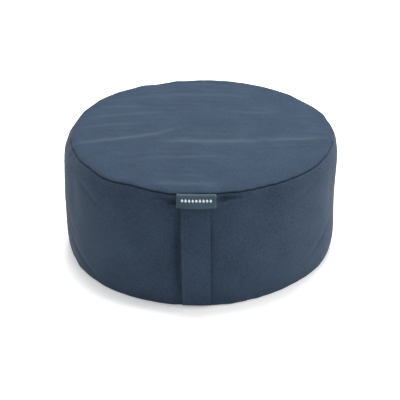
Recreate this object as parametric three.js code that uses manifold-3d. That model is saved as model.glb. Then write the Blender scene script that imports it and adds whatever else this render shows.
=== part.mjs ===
// Round meditation cushion: a drum of buckwheat hulls in a zipped cotton liner, inside a removable canvas cover.
// The cover has a round top and bottom panel, a side band whose back half holds a zip, a carry handle sewn from
// the top seam to the bottom seam, and a folded woven label caught in the top seam over the handle.
//
// Millimetres, +Z up. The origin is the middle of the base, on the floor. The handle faces -Y, the zip faces +Y.
// Angles round the drum are measured from the front (-Y) towards +X, in degrees.

import * as THREE from "three";
import { mergeVertices } from "three/addons/utils/BufferGeometryUtils.js";
import Module from "manifold-3d";

const wasm = await Module();
wasm.setup();

// Driving dimensions
const SEAM_RADIUS = 189; // where the top panel meets the side band
const BULGE_RADIUS = 196; // the side band halfway up
const FOOT_RADIUS = 191; // where the bottom panel meets the side band
const SIDE_HEIGHT = 171; // floor to top seam
const CROWN = 7; // rise of the top panel from its edge to its middle
const CANVAS = 1; // cover cloth
const MUSLIN = 0.6; // liner cloth
const FIT_GAP = 0.3; // between neighbouring pieces
const SEAM_ALLOWANCE = 10; // turned in along every panel edge
const LINER_INSET = 7; // liner surface behind the cover's outer surface
const ROUND_STEPS = 48; // facets round the drum
const WALL_STEP = 28; // height of a facet up the side

// Zips: a half angle each side of the back, and a height
const BACK = 180;
const COVER_ZIP = { height: 85, halfAngle: 72, scale: 1, inset: 0 };
const LINER_ZIP = { height: 126, halfAngle: 44, scale: 0.8, inset: LINER_INSET };
const GUSSET_HALF_ANGLE = COVER_ZIP.halfAngle + 2; // the zipped part of the band, out to its end seams
const LINER_SLOT_HALF_ANGLE = LINER_ZIP.halfAngle + 1.5;

// Handle and label
const HANDLE_WIDTH = 38;
const HANDLE_THICKNESS = 1.6;
const HANDLE_STAND_OFF = 7.5; // slack between the handle's middle and the side band
const HANDLE_ENDS = { low: 3.5, high: SIDE_HEIGHT - 0.6 };
const GRIP = { low: 20, high: 146 }; // the part of the handle that lifts away
const LABEL = { width: 51, height: 15, thickness: 1.2, clearance: 0.5 };

const COLOURS = {
  canvas: 0x4a5a70,
  muslin: 0xe6dfd0,
  tape: 0x36404f,
  metal: 0x9a9ca0,
  label: 0x3c4c5c,
  satin: 0xf2f2ef,
  hulls: 0x4a3424,
};

const degrees = THREE.MathUtils.degToRad;
const point = (radius, z) => new THREE.Vector2(radius, z);

function material(colour, roughness = 0.9, metalness = 0) {
  return new THREE.MeshStandardMaterial({ color: colour, roughness, metalness });
}

const finishes = {
  canvas: material(COLOURS.canvas),
  muslin: material(COLOURS.muslin),
  tape: material(COLOURS.tape, 0.85),
  metal: material(COLOURS.metal, 0.35, 1),
  label: material(COLOURS.label, 0.7),
  satin: material(COLOURS.satin, 0.6),
  hulls: material(COLOURS.hulls, 0.95),
};

// Solids

function toSolid(geometry) {
  const bare = geometry.index ? geometry.toNonIndexed() : geometry.clone();
  bare.deleteAttribute("normal");
  bare.deleteAttribute("uv");
  const merged = mergeVertices(bare, 1e-4);
  return new wasm.Manifold(
    new wasm.Mesh({
      numProp: 3,
      vertProperties: merged.attributes.position.array,
      triVerts: new Uint32Array(merged.index.array),
    }),
  );
}

function toGeometry(solid) {
  const mesh = solid.getMesh();
  const geometry = new THREE.BufferGeometry();
  geometry.setAttribute("position", new THREE.BufferAttribute(new Float32Array(mesh.vertProperties), 3));
  geometry.setIndex(new THREE.BufferAttribute(new Uint32Array(mesh.triVerts), 1));
  geometry.computeVertexNormals();
  return geometry;
}

// Turns an outline of (radius, z) points, given anticlockwise, round the Z axis. Its first facet edge is at the front.
function revolve(outline) {
  const closed = outline[0].x === 0 ? outline : [...outline, outline[0]];
  return new THREE.LatheGeometry(closed, ROUND_STEPS).rotateX(Math.PI / 2);
}

// A pie slice that holds everything between two angles.
function wedge(from, to) {
  const reach = 2 * BULGE_RADIUS;
  const steps = Math.ceil((to - from) / 30);
  const shape = new THREE.Shape();
  shape.moveTo(0, 0);
  for (let i = 0; i <= steps; i++) {
    const angle = degrees(from + ((to - from) * i) / steps);
    shape.lineTo(reach * Math.sin(angle), -reach * Math.cos(angle));
  }
  return new THREE.ExtrudeGeometry(shape, { depth: 2 * SIDE_HEIGHT, bevelEnabled: false });
}

function sector(geometry, from, to) {
  return toGeometry(toSolid(geometry).intersect(toSolid(wedge(from, to))));
}

// A box given by its two opposite corners.
function block(low, high) {
  const size = high.map((value, axis) => value - low[axis]);
  const middle = high.map((value, axis) => (value + low[axis]) / 2);
  return new THREE.BoxGeometry(...size).translate(...middle);
}

// The drum's outer shape

function wallRadius(z) {
  const middle = SIDE_HEIGHT / 2;
  const end = z > middle ? SEAM_RADIUS : FOOT_RADIUS;
  return BULGE_RADIUS - (BULGE_RADIUS - end) * ((z - middle) / middle) ** 2;
}

// The side's lean in radians, positive where it slopes in towards the top.
function wallLean(z) {
  const middle = SIDE_HEIGHT / 2;
  const end = z > middle ? SEAM_RADIUS : FOOT_RADIUS;
  return Math.atan((2 * (BULGE_RADIUS - end) * (z - middle)) / middle ** 2);
}

function crownHeight(radius) {
  return SIDE_HEIGHT + CANVAS + CROWN * (1 - (radius / SEAM_RADIUS) ** 3);
}

// Points up the side, a given depth behind the outer surface.
function wallLine(low, high, depth) {
  const steps = Math.max(1, Math.round((high - low) / WALL_STEP));
  return Array.from({ length: steps + 1 }, (_, i) => {
    const z = low + ((high - low) * i) / steps;
    return point(wallRadius(z) - depth, z);
  });
}

// A ring of cloth between two heights, from one depth behind the outer surface to another.
function clothRing(low, high, depth, thickness) {
  return revolve([...wallLine(low, high, depth), ...wallLine(low, high, depth + thickness).reverse()]);
}

// The same with its edges turned in to a double thickness: foldLow and foldHigh say which edges.
function hemmedRing(low, high, depth, thickness, foldLow, foldHigh) {
  const inner = depth + thickness;
  const doubled = inner + thickness;
  const top = foldHigh ? high - SEAM_ALLOWANCE : high;
  const bottom = foldLow ? low + SEAM_ALLOWANCE : low;
  const outline = [...wallLine(low, high, depth)];
  if (foldHigh) outline.push(...wallLine(top, high, doubled).reverse());
  outline.push(...wallLine(bottom, top, inner).reverse());
  if (foldLow) outline.push(...wallLine(low, bottom, doubled).reverse());
  return revolve(outline);
}

const CROWN_SHARES = [0, 0.4, 0.7, 0.9]; // where a crowned panel bends, as shares of its radius
const LIP = 0.97; // the bottom panel is flat this far out

// A round panel whose edge turns into the drum as a seam allowance. surface(radius) is the height of its outer
// face, which bends at the given shares of its radius, and side is 1 for a top panel and -1 for a bottom one.
function roundPanel(edgeRadius, flangeRadius, thickness, surface, shares, side) {
  const outer = shares.map((share) => point(share * edgeRadius, surface(share * edgeRadius)));
  const inner = shares.map((share) => point(share * edgeRadius, surface(share * edgeRadius) - side * thickness));
  const edge = surface(edgeRadius);
  const under = edge - side * thickness;
  const end = edge - side * SEAM_ALLOWANCE;
  const outline = [
    ...outer,
    point(edgeRadius, edge),
    point(edgeRadius, under),
    point(flangeRadius, under),
    point(flangeRadius, end),
    point(flangeRadius - thickness, end),
    point(flangeRadius - thickness, under),
    ...inner.reverse(),
  ];
  return revolve(side > 0 ? outline.reverse() : outline);
}

// Cover

const BAND_LOW = 3;
const BAND_HIGH = SIDE_HEIGHT - FIT_GAP;
const ZIP_OPENING = 5; // from the zip's centre line to each folded strip edge

function coverTopPanel() {
  const flange = SEAM_RADIUS - 2 * CANVAS - FIT_GAP;
  return roundPanel(SEAM_RADIUS, flange, CANVAS, crownHeight, CROWN_SHARES, 1);
}

function coverBottomPanel() {
  const rise = (radius) => Math.max(0, (radius - LIP * FOOT_RADIUS) / 3);
  const flange = wallRadius(BAND_LOW) - 2 * CANVAS - FIT_GAP;
  return roundPanel(FOOT_RADIUS, flange, CANVAS, rise, [0, LIP], -1);
}

function coverFrontBand() {
  const reach = BACK - GUSSET_HALF_ANGLE;
  return sector(hemmedRing(BAND_LOW, BAND_HIGH, 0, CANVAS, true, true), -reach, reach);
}

function coverBackStrip(low, high, foldLow, foldHigh) {
  const reach = GUSSET_HALF_ANGLE - 0.2;
  return sector(hemmedRing(low, high, 0, CANVAS, foldLow, foldHigh), BACK - reach, BACK + reach);
}

// Liner and filling

const LINER_LOW = 2.5;
const LINER_TOP_DROP = CANVAS + MUSLIN;

const linerCrown = (radius) => crownHeight(radius) - LINER_TOP_DROP;
const linerEdge = SEAM_RADIUS - LINER_INSET;
const LINER_HIGH = linerCrown(linerEdge) - MUSLIN - FIT_GAP;

function linerTopPanel() {
  const flange = wallRadius(LINER_HIGH) - LINER_INSET - 2 * MUSLIN - FIT_GAP;
  return roundPanel(linerEdge, flange, MUSLIN, linerCrown, CROWN_SHARES, 1);
}

function linerBottomPanel() {
  const flat = () => CANVAS + FIT_GAP;
  const flange = wallRadius(LINER_LOW) - LINER_INSET - 2 * MUSLIN - FIT_GAP;
  return roundPanel(FOOT_RADIUS - LINER_INSET, flange, MUSLIN, flat, [0], -1);
}

function linerSideBand() {
  const ring = hemmedRing(LINER_LOW, LINER_HIGH, LINER_INSET, MUSLIN, true, true);
  const slot = clothRing(LINER_ZIP.height - 3.5, LINER_ZIP.height + 3.5, 0, 3 * LINER_INSET);
  const opening = sector(slot, BACK - LINER_SLOT_HALF_ANGLE, BACK + LINER_SLOT_HALF_ANGLE);
  return toGeometry(toSolid(ring).subtract(toSolid(opening)));
}

function hullFill() {
  const gap = 4; // clear of the doubled hems and the zip's inner face
  const floor = CANVAS + MUSLIN + 2 * FIT_GAP;
  const side = wallLine(SEAM_ALLOWANCE + 4, SIDE_HEIGHT - SEAM_ALLOWANCE - 4, LINER_INSET + gap);
  const shoulder = side[side.length - 1].x - 3;
  const top = [0.95, 0.75, 0.5, 0].map((share) => {
    const radius = share * shoulder;
    return point(radius, linerCrown(radius) - MUSLIN - FIT_GAP);
  });
  return revolve([point(0, floor), point(side[0].x - 6, floor), ...side, ...top]);
}

// Zip. A zip's measures are for a size 5 coil zip, times its scale.

const CHAIN = { slit: 0.8, half: 3, tapeWidth: 13 };
const LAYER = { tapeIn: 2.3, tapeOut: 1.6, coilIn: 1.3, coilOut: -0.3 }; // depths behind the cloth's outer surface
const SLIDER = { length: 12, width: 9, plate: 1.1, topFace: 0.6, underFace: -3.1 };
const BRIDGE = { reach: 4.3, tunnelReach: 3, tunnelHigh: 3.5, high: 4.5, width: 2.4 };
const PULL = { pivot: 2.6, bar: 0.5, window: 6.2, windowHalf: 1.9, half: 3.5, length: 26, hole: 1.6 };

function zipTape(zip, side) {
  const near = zip.height + side * CHAIN.slit * zip.scale;
  const far = zip.height + side * CHAIN.tapeWidth * zip.scale;
  const thickness = (LAYER.tapeIn - LAYER.tapeOut) * zip.scale;
  const ring = clothRing(Math.min(near, far), Math.max(near, far), zip.inset + LAYER.tapeOut * zip.scale, thickness);
  return sector(ring, BACK - zip.halfAngle - 1, BACK + zip.halfAngle + 1);
}

function zipCoil(zip, side) {
  const near = zip.height + side * CHAIN.slit * zip.scale;
  const far = zip.height + side * CHAIN.half * zip.scale;
  const thickness = (LAYER.coilIn - LAYER.coilOut) * zip.scale;
  const ring = clothRing(Math.min(near, far), Math.max(near, far), zip.inset + LAYER.coilOut * zip.scale, thickness);
  return sector(ring, BACK - zip.halfAngle, BACK + zip.halfAngle);
}

function zipStop(zip) {
  return block([-1, -LAYER.coilIn, -CHAIN.half], [1, -LAYER.coilOut, CHAIN.half]).scale(zip.scale, zip.scale, zip.scale);
}

// Local axes of a slider: X along the zip towards its open end, Y out of the cloth, Z up.
function zipSlider(zip) {
  const { length, width, plate, topFace, underFace } = SLIDER;
  const outline = new THREE.Shape();
  outline.absellipse(0, 0, length / 2, width / 2, 0, 2 * Math.PI);
  const face = (low) =>
    new THREE.ExtrudeGeometry(outline, { depth: plate, bevelEnabled: false, curveSegments: 8 })
      .rotateX(-Math.PI / 2)
      .translate(0, low, 0);
  const post = block([-4, underFace - plate / 2, -0.5], [-1, topFace + plate / 2, 0.5]);
  const base = topFace + plate / 2;
  const arch = block([-BRIDGE.reach, base, -BRIDGE.width / 2], [BRIDGE.reach, BRIDGE.high, BRIDGE.width / 2]);
  const tunnel = block(
    [-BRIDGE.tunnelReach, topFace + plate, -BRIDGE.width],
    [BRIDGE.tunnelReach, BRIDGE.tunnelHigh, BRIDGE.width],
  );
  const joined = toSolid(arch)
    .subtract(toSolid(tunnel))
    .add(toSolid(face(topFace)))
    .add(toSolid(face(underFace - plate)))
    .add(toSolid(post));
  return toGeometry(joined).scale(zip.scale, zip.scale, zip.scale);
}

function zipPull(zip) {
  const { pivot, bar, window, windowHalf, half, length, hole } = PULL;
  const outline = new THREE.Shape();
  outline.moveTo(-bar, -half);
  outline.lineTo(length - half, -half);
  outline.absarc(length - half, 0, half, -Math.PI / 2, Math.PI / 2);
  outline.lineTo(-bar, half);
  const eye = new THREE.Path();
  eye.moveTo(bar, -windowHalf);
  eye.lineTo(window, -windowHalf);
  eye.lineTo(window, windowHalf);
  eye.lineTo(bar, windowHalf);
  const tip = new THREE.Path();
  tip.absarc(length - half, 0, hole, 0, 2 * Math.PI);
  outline.holes.push(eye, tip);
  return new THREE.ExtrudeGeometry(outline, { depth: 2 * bar, bevelEnabled: false, curveSegments: 8 })
    .rotateX(-Math.PI / 2)
    .translate(0, pivot - bar, 0)
    .scale(zip.scale, zip.scale, zip.scale);
}

// A group whose local axes stand on the drum at an angle: Y out of the cloth, Z up it, X towards the zip's open end.
function standOn(zip, angle) {
  const radius = wallRadius(zip.height) - zip.inset;
  const group = new THREE.Group();
  group.position.set(radius * Math.sin(degrees(angle)), -radius * Math.cos(degrees(angle)), zip.height);
  group.rotation.set(wallLean(zip.height), 0, degrees(angle + 180), "ZXY");
  return group;
}

const SLIDER_REST = 2.5; // degrees from the zip's closed end

function addZip(parent, zip, name) {
  const part = (suffix, geometry, finish) => named(`${name}_${suffix}`, geometry, finish);
  parent.add(
    part("tape_upper", zipTape(zip, 1), finishes.tape),
    part("tape_lower", zipTape(zip, -1), finishes.tape),
    part("coil_upper", zipCoil(zip, 1), finishes.tape),
    part("coil_lower", zipCoil(zip, -1), finishes.tape),
  );
  const ends = { stop_closed: BACK + zip.halfAngle + 0.5, stop_open: BACK - zip.halfAngle - 0.5 };
  for (const [suffix, angle] of Object.entries(ends)) {
    const place = standOn(zip, angle);
    place.add(part(suffix, zipStop(zip), finishes.metal));
    parent.add(place);
  }
  const carriage = standOn(zip, BACK + zip.halfAngle - SLIDER_REST);
  carriage.add(part("slider", zipSlider(zip), finishes.metal), part("pull", zipPull(zip), finishes.metal));
  parent.add(carriage);
}

// Handle and labels

function handleFront(z) {
  const share = (z - HANDLE_ENDS.low) / (HANDLE_ENDS.high - HANDLE_ENDS.low);
  const slack = HANDLE_STAND_OFF * Math.max(0, Math.sin(Math.PI * share)) ** 0.6;
  return wallRadius(z) + slack + FIT_GAP;
}

// A strip of cloth between two heights, a given distance out from the handle's inner face, cut from its side view.
function frontStrip(low, high, width, distance, thickness) {
  const steps = Math.max(3, Math.round((high - low) / 12));
  const heights = Array.from({ length: steps + 1 }, (_, i) => low + ((high - low) * i) / steps);
  const inner = heights.map((z) => new THREE.Vector2(-handleFront(z) - distance, z));
  const outer = heights.map((z) => new THREE.Vector2(-handleFront(z) - distance - thickness, z));
  const sideView = new THREE.Shape([...inner, ...outer.reverse()]);
  const along = new THREE.Matrix4().makeBasis(
    new THREE.Vector3(0, 1, 0),
    new THREE.Vector3(0, 0, 1),
    new THREE.Vector3(1, 0, 0),
  );
  return new THREE.ExtrudeGeometry(sideView, { depth: width, bevelEnabled: false })
    .translate(0, 0, -width / 2)
    .applyMatrix4(along);
}

function handleLength(low, high) {
  return frontStrip(low, high, HANDLE_WIDTH, 0, HANDLE_THICKNESS);
}

// The label hangs from the top seam, in front of the handle's upper end.
function wovenLabel() {
  const { width, height, thickness, clearance } = LABEL;
  return frontStrip(HANDLE_ENDS.high - height, HANDLE_ENDS.high, width, HANDLE_THICKNESS + clearance, thickness);
}

// Sewn to the bottom seam allowance inside the cover, beside the zip.
function careLabel() {
  const depth = 4.2;
  const ring = clothRing(SEAM_ALLOWANCE + 4, SEAM_ALLOWANCE + 44, depth, 0.4);
  return sector(ring, BACK - 6, BACK + 3);
}

function named(name, geometry, finish) {
  const mesh = new THREE.Mesh(geometry, finish);
  mesh.name = name;
  return mesh;
}

// Assembly

const cover = new THREE.Group();
cover.add(
  named("cover_top_panel", coverTopPanel(), finishes.canvas),
  named("cover_bottom_panel", coverBottomPanel(), finishes.canvas),
  named("cover_front_band", coverFrontBand(), finishes.canvas),
  named(
    "cover_back_strip_upper",
    coverBackStrip(COVER_ZIP.height + ZIP_OPENING, BAND_HIGH, false, true),
    finishes.canvas,
  ),
  named(
    "cover_back_strip_lower",
    coverBackStrip(BAND_LOW, COVER_ZIP.height - ZIP_OPENING, true, false),
    finishes.canvas,
  ),
  named("handle_upper_end", handleLength(GRIP.high + FIT_GAP, HANDLE_ENDS.high), finishes.canvas),
  named("handle_grip", handleLength(GRIP.low, GRIP.high), finishes.canvas),
  named("handle_lower_end", handleLength(HANDLE_ENDS.low, GRIP.low - FIT_GAP), finishes.canvas),
  named("woven_label", wovenLabel(), finishes.label),
  named("care_label", careLabel(), finishes.satin),
);
addZip(cover, COVER_ZIP, "cover_zip");

const inner = new THREE.Group();
inner.add(
  named("liner_top_panel", linerTopPanel(), finishes.muslin),
  named("liner_bottom_panel", linerBottomPanel(), finishes.muslin),
  named("liner_side_band", linerSideBand(), finishes.muslin),
  named("hull_fill", hullFill(), finishes.hulls),
);
addZip(inner, LINER_ZIP, "liner_zip");

const cushion = new THREE.Group();
cushion.add(cover, inner);

export default cushion;
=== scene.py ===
"""Round floor cushion: a zipped canvas cover with a handle and a woven label, over a hull-filled liner.

Metres, +Z up. The handle and label face -Y, the cover's zip faces +Y, and the base stands on z = 0. A turn
is an angle round the drum from the front (-Y) towards +X, in radians.
"""

import logging
import math
from collections.abc import Mapping, Sequence
from dataclasses import dataclass, field, replace
from enum import Enum
from typing import Any

import bmesh
import bpy
import numpy as np
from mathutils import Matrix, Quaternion, Vector, noise
from mathutils.bvhtree import BVHTree


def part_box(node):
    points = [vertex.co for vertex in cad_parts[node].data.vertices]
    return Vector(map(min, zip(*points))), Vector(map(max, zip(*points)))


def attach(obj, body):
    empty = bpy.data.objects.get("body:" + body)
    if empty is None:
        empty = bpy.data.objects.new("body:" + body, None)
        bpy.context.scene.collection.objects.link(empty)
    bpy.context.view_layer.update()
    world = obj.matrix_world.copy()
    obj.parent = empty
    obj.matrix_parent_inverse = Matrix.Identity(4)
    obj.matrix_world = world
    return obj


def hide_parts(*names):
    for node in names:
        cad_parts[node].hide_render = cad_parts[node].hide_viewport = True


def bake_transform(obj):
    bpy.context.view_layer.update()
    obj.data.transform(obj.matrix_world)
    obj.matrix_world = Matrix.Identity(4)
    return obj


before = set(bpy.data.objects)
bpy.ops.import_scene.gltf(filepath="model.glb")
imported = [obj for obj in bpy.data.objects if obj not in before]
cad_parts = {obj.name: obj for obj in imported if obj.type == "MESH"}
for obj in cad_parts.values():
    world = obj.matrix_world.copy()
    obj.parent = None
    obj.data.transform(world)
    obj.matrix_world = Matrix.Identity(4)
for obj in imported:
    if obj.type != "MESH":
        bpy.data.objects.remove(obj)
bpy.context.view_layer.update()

log = logging.getLogger("cushion")

MM = 0.001
ROOT = "cushion"
Colour = tuple[float, float, float]


# Node trees


class Wire:
    """A socket's value in an expression: arithmetic on it adds Math nodes to its tree."""

    def __init__(self, tree: "Tree", socket: bpy.types.NodeSocket) -> None:
        """Keeps the socket with the tree it belongs to."""
        self.tree = tree
        self.socket = socket

    def _math(self, operation: str, *terms: "Wire | float") -> "Wire":
        """Adds one Math node and returns its result."""
        return self.tree.add("ShaderNodeMath", {"operation": operation}, dict(enumerate(terms)))

    def __add__(self, other: "Wire | float") -> "Wire":
        """self + other."""
        return self._math("ADD", self, other)

    def __sub__(self, other: "Wire | float") -> "Wire":
        """self - other."""
        return self._math("SUBTRACT", self, other)

    def __mul__(self, other: "Wire | float") -> "Wire":
        """self * other."""
        return self._math("MULTIPLY", self, other)

    def __radd__(self, other: float) -> "Wire":
        """other + self."""
        return self._math("ADD", other, self)

    def __rsub__(self, other: float) -> "Wire":
        """other - self."""
        return self._math("SUBTRACT", other, self)

    def __rmul__(self, other: float) -> "Wire":
        """other * self."""
        return self._math("MULTIPLY", other, self)

    def __abs__(self) -> "Wire":
        """The value without its sign."""
        return self._math("ABSOLUTE", self)

    def sine(self) -> "Wire":
        """The sine of the value, in radians."""
        return self._math("SINE", self)

    def clamped(self) -> "Wire":
        """The value held between 0 and 1."""
        return self._math("MINIMUM", self._math("MAXIMUM", self, 0.0), 1.0)


class Tree:
    """A shader or geometry node tree under construction."""

    def __init__(self, nodes: bpy.types.NodeTree) -> None:
        """Starts from an empty tree."""
        self.tree = nodes
        self.tree.nodes.clear()

    def node(
        self,
        kind: str,
        settings: Mapping[str, Any] | None = None,
        inputs: Mapping[str | int, Any] | None = None,
    ) -> bpy.types.Node:
        """Adds a node.

        Args:
            kind: the node's type.
            settings: its own settings, such as a Math node's operation; "stops" fills a colour ramp.
            inputs: a value or a Wire for each socket that isn't left as it is, by name or index.

        Returns:
            The new node.
        """
        made = self.tree.nodes.new(kind)
        for key, value in (settings or {}).items():
            if key == "stops":
                self._fill_ramp(made.color_ramp, value)
            else:
                setattr(made, key, value)
        for key, value in (inputs or {}).items():
            if isinstance(value, Wire):
                self.tree.links.new(value.socket, made.inputs[key])
            else:
                made.inputs[key].default_value = value
        return made

    def add(
        self,
        kind: str,
        settings: Mapping[str, Any] | None = None,
        inputs: Mapping[str | int, Any] | None = None,
        output: str | int = 0,
    ) -> Wire:
        """Adds a node, as node() does, and returns the Wire of one of its outputs."""
        return Wire(self, self.node(kind, settings, inputs).outputs[output])

    @staticmethod
    def _fill_ramp(ramp: bpy.types.ColorRamp, stops: Sequence[tuple[float, float]]) -> None:
        """Sets a colour ramp's stops, each a position and a grey level."""
        while len(ramp.elements) < len(stops):
            ramp.elements.new(1.0)
        for element, (position, level) in zip(ramp.elements, stops, strict=True):
            element.position = position
            element.color = (level, level, level, 1.0)


class Surface(Tree):
    """A material under construction, around one Principled shader."""

    def __init__(self, name: str, **constants: Any) -> None:
        """Starts a material whose shader has the given constants, by socket name with _ for a space."""
        self.material = bpy.data.materials.new(name)
        self.material.use_nodes = True
        super().__init__(self.material.node_tree)
        values = {key.replace("_", " "): value for key, value in constants.items()}
        self.shader = self.node("ShaderNodeBsdfPrincipled", inputs=values)
        self.node("ShaderNodeOutputMaterial", inputs={"Surface": Wire(self, self.shader.outputs[0])})

    def cloth(self) -> tuple[Wire, Wire, Wire]:
        """Returns the cloth's own coordinates in metres: across, along, and both as a vector."""
        place = self.add("ShaderNodeUVMap", {"uv_map": CLOTH_MAP})
        split = self.node("ShaderNodeSeparateXYZ", inputs={0: place})
        return Wire(self, split.outputs[0]), Wire(self, split.outputs[1]), place

    def here(self) -> Wire:
        """Returns the place on the object, in metres."""
        return self.add("ShaderNodeTexCoord", output="Object")

    def noise(
        self, place: Wire, size: float, detail: float = 2.0, stretch: Sequence[float] = (1, 1, 1)
    ) -> Wire:
        """Adds soft random variation.

        Args:
            place: where to read it.
            size: the width of one patch, in metres.
            detail: how many finer layers it has.
            stretch: how much longer its patches are along each axis.

        Returns:
            A value round 0.5.
        """
        scale = [1.0 / (size * each) for each in stretch]
        spread = self.add("ShaderNodeVectorMath", {"operation": "MULTIPLY"}, {0: place, 1: scale})
        inputs = {"Vector": spread, "Scale": 1.0, "Detail": detail}
        return self.add("ShaderNodeTexNoise", {"noise_dimensions": "3D"}, inputs)

    def blend(self, share: Wire, low: Any, high: Any) -> Wire:
        """Mixes two colours by a share."""
        mixed = self.node("ShaderNodeMix", {"data_type": "RGBA"}, {0: share})
        for socket, value in ((mixed.inputs[6], low), (mixed.inputs[7], high)):
            if isinstance(value, Wire):
                self.tree.links.new(value.socket, socket)
            else:
                socket.default_value = (*value, 1.0)
        return Wire(self, mixed.outputs[2])

    def paint(self, colour: Wire) -> None:
        """Feeds the base colour."""
        self.tree.links.new(colour.socket, self.shader.inputs["Base Color"])

    def roughen(self, roughness: Wire) -> None:
        """Feeds the roughness."""
        self.tree.links.new(roughness.socket, self.shader.inputs["Roughness"])

    def emboss(self, height: Wire, depth: float, strength: float = 1.0) -> None:
        """Feeds the normal from a height between 0 and 1 that stands for a depth in metres."""
        bump = self.add("ShaderNodeBump", inputs={"Strength": strength, "Distance": depth, "Height": height})
        self.tree.links.new(bump.socket, self.shader.inputs["Normal"])


CLOTH_MAP = "cloth"
CREST_WEAR_AND_HIGHLIGHT = "crest_wear_and_highlight"
SEAM_SHADE = "seam_shade"


def tinted(colour: Colour, factor: float) -> Colour:
    """Returns the colour made lighter or darker by a factor."""
    return tuple(min(1.0, channel * factor) for channel in colour)


# Finishes


@dataclass(frozen=True)
class Canvas:
    """Plain-woven cotton canvas: fine threads, soft mottling, fold crests painted paler (partly wear, partly
    a painted highlight), and painted shade inside the seams.
    """

    name: str
    colour: Colour
    thread: float = 0.62 * MM
    sheen: float = 0.07
    wear_and_highlight: Colour = (0.046, 0.068, 0.096)  # the paler colour painted along fold crests: partly wear, partly a painted highlight
    shaded: float = 0.4  # painted shade: how dark the cloth is painted inside a seam

    def material(self) -> bpy.types.Material:
        """Builds the material on the cloth's own coordinates."""
        surface = Surface(
            self.name,
            Sheen_Weight=self.sheen,
            Sheen_Roughness=0.45,
            Sheen_Tint=(0.75, 0.85, 1.0, 1.0),
            Specular_IOR_Level=0.15,
        )
        across, along, place = surface.cloth()
        step = math.pi / self.thread
        warp = abs((across * step).sine())
        weft = abs((along * step).sine())
        over = (across * step).sine() * (along * step).sine()
        weave = warp * 0.35 + weft * 0.35 + over * 0.15 + 0.15
        slub_size, slub_length = 0.9 * MM, 9
        slub = surface.noise(place, slub_size, stretch=(1, slub_length, 1)) * 0.5
        slub = slub + surface.noise(place, slub_size, stretch=(slub_length, 1, 1)) * 0.5
        grain = surface.noise(place, 2.6 * MM, detail=3.0)
        cloud = surface.noise(place, 45 * MM, detail=3.0)
        tone = (slub - 0.5) * 1.3 + (grain - 0.5) * 1.3 + (cloud - 0.5) * 0.65 + weave * 0.16 + 0.42
        dyed = surface.blend(tone.clamped(), tinted(self.colour, 0.58), tinted(self.colour, 1.46))
        # Fold crests painted paler: partly wear, partly a painted highlight.
        wear_and_highlight = surface.add("ShaderNodeAttribute", {"attribute_name": CREST_WEAR_AND_HIGHLIGHT}, output="Fac")
        crest_painted = surface.blend(wear_and_highlight.clamped(), dyed, self.wear_and_highlight)
        # Painted shade: the cloth inside the seams is painted darker.
        seam_shade = surface.add("ShaderNodeAttribute", {"attribute_name": SEAM_SHADE}, output="Fac")
        surface.paint(surface.blend(seam_shade.clamped(), crest_painted, tinted(self.colour, self.shaded)))
        surface.roughen(0.92 - weave * 0.1)
        surface.emboss(weave * 0.7 + slub * 0.5, 0.16 * MM, 0.6)
        return surface.material


@dataclass(frozen=True)
class Ribbon:
    """A narrow woven band, such as a zip tape or a label, with ribs and, if it is wide, paler edges: partly
    its selvedges, partly a painted highlight.
    """

    name: str
    colour: Colour
    rib: float = 0.5 * MM
    gloss: float = 0.55
    sheen: float = 0.15
    selvedge_and_highlight_from: float = 1.0  # from the band's middle to where its edge is painted paler, for the selvedge and a painted highlight: by default it has none

    def material(self) -> bpy.types.Material:
        """Builds the material on the cloth's own coordinates."""
        surface = Surface(self.name, Sheen_Weight=self.sheen, Sheen_Roughness=0.4, Specular_IOR_Level=0.3)
        across, along, place = surface.cloth()
        step = math.pi / self.rib
        ribs = abs((across * step).sine()) * 0.6 + abs((along * step * 2).sine()) * 0.4
        fuzz = surface.noise(place, 1.5 * MM)
        tone = ribs * 0.5 + fuzz * 0.5
        woven = surface.blend(tone, tinted(self.colour, 0.78), tinted(self.colour, 1.2))
        # Paler edges: partly the selvedge's own colour, partly a painted highlight.
        selvedge_and_highlight = ((abs(across) - self.selvedge_and_highlight_from) * (1 / (0.4 * MM))).clamped()
        surface.paint(surface.blend(selvedge_and_highlight * 0.6, woven, tinted(self.colour, 2.2)))
        surface.roughen(self.gloss + fuzz * 0.2)
        surface.emboss(ribs, 0.12 * MM, 0.6)
        return surface.material


@dataclass(frozen=True)
class Muslin:
    """Unbleached cotton with flecks of seed husk, on a piece without cloth coordinates."""

    name: str
    colour: Colour
    thread: float = 0.8 * MM

    def material(self) -> bpy.types.Material:
        """Builds the material on the object's coordinates."""
        surface = Surface(self.name, Sheen_Weight=0.2, Sheen_Roughness=0.5, Specular_IOR_Level=0.2)
        place = surface.here()
        weave = surface.noise(place, self.thread, stretch=(1, 1, 5)) * 0.5
        weave = weave + surface.noise(place, self.thread, stretch=(5, 5, 1)) * 0.5
        cloud = surface.noise(place, 30 * MM)
        tone = (weave * 0.7 + cloud * 0.5 - 0.1).clamped()
        cloth = surface.blend(tone, tinted(self.colour, 0.82), tinted(self.colour, 1.08))
        flecks = surface.add(
            "ShaderNodeValToRGB",
            {"stops": [(0.68, 0.0), (0.74, 0.6)]},
            {"Fac": surface.noise(place, 2.2 * MM, detail=1.0)},
        )
        surface.paint(surface.blend(flecks, cloth, tinted(self.colour, 0.5)))
        surface.roughen(0.85 + cloud * 0.1)
        surface.emboss(weave, 0.2 * MM, 0.7)
        return surface.material


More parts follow.
